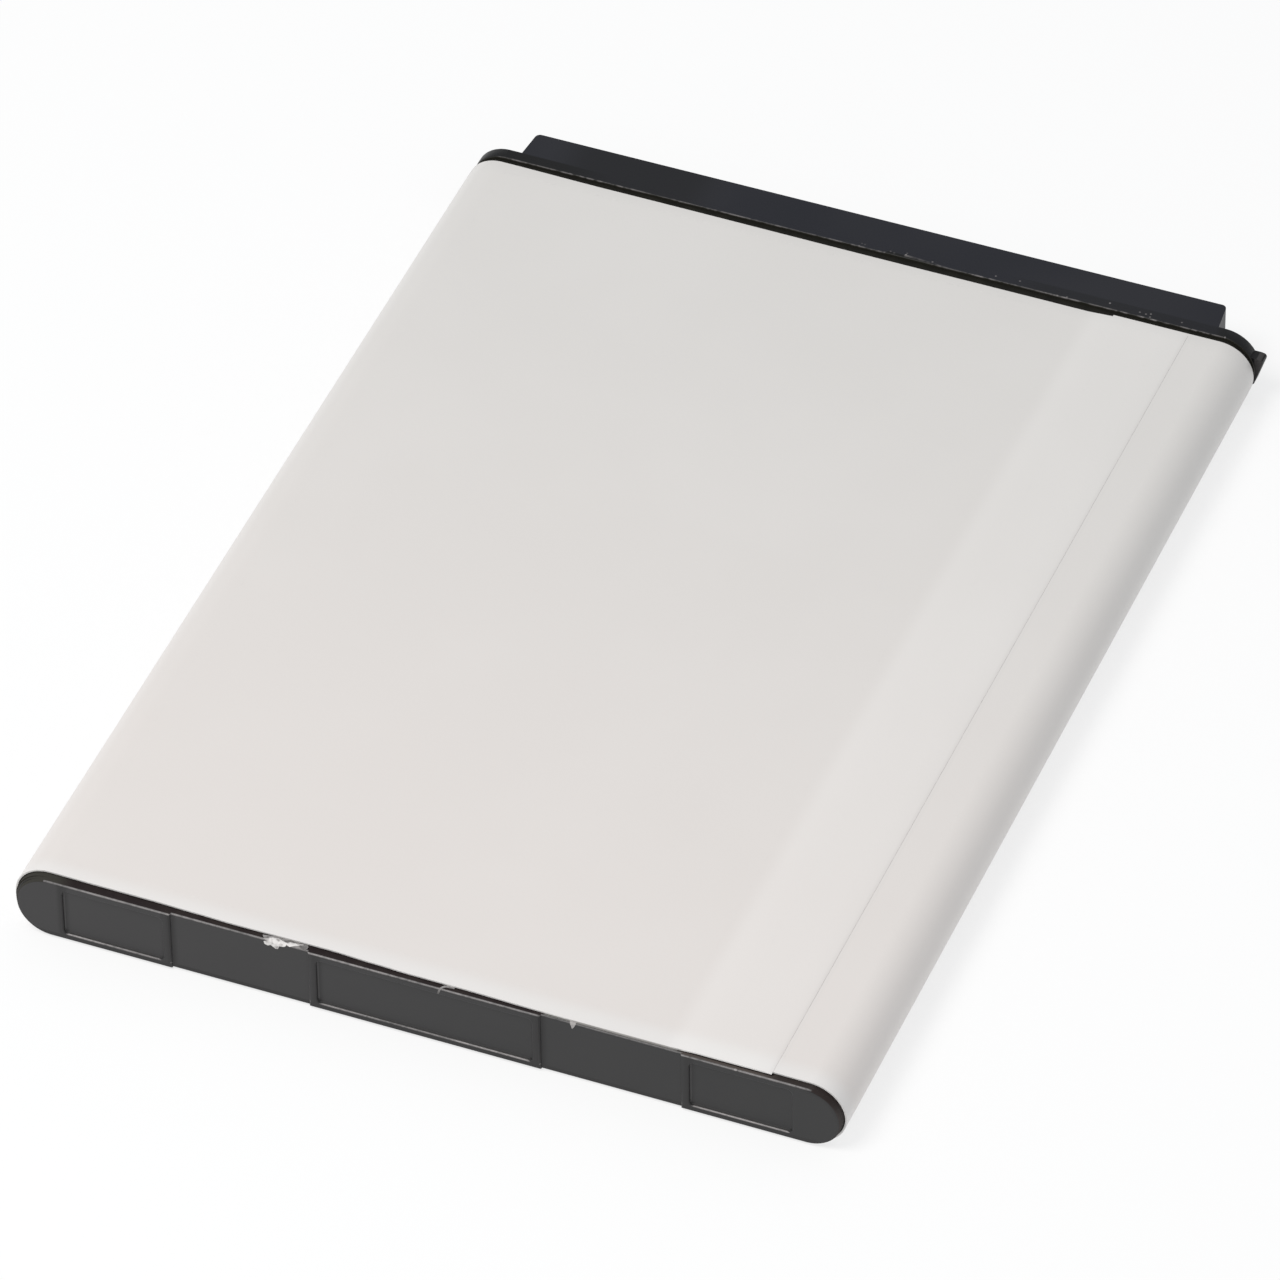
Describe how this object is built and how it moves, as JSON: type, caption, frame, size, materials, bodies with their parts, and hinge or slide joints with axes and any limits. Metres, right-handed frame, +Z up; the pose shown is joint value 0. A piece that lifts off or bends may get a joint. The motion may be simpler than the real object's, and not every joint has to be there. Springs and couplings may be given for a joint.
{
  "type": "mobile phone battery",
  "caption": "Flat removable lithium-ion phone battery in a white wrap, with black end caps, recessed gold contacts and a keying ear on one side.",
  "frame": {"origin": "centre of the underside of the wrapped pack, midway along its length", "axes": "+X across the width towards the keying ear, +Y along the pack towards the contact end, +Z up from the underside through the plain label side"},
  "size_m": [0.0514, 0.0716, 0.0046],
  "materials": {
    "can": "drawn satin aluminium",
    "gasket": "moulded polypropylene",
    "nickel": "rolled nickel strip",
    "insulator": "pressed insulating paper",
    "breaker": "moulded",
    "board": "solder resist over glass laminate",
    "chip": "moulded package",
    "capacitor": "fired ceramic",
    "contact": "gold plated",
    "cap": "fine matt moulding",
    "tape": "double-sided tape",
    "label": "satin white polyester film"
  },
  "bodies": {
    "root": {"cell": "can", "terminal_gasket": "gasket", "terminal_rivet": "nickel", "fill_plug": "can", "positive_plate": "nickel", "lid_insulator": "insulator", "thermal_cutoff": "breaker", "cutoff_lead": "nickel", "negative_lead": "nickel", "positive_lead": "nickel", "circuit_board": "board", "board_tab_negative": "nickel", "board_tab_positive": "nickel", "protection_chip": "chip", "switch_chip": "chip", "chip_resistors": "chip", "chip_capacitors": "capacitor", "contact_pad_1": "contact", "contact_pad_2": "contact", "contact_pad_3": "contact", "contact_pad_4": "contact", "top_cap": "cap", "bottom_cap": "cap", "bottom_tape": "tape", "label_wrap": "label"}
  },
  "joints": []
}
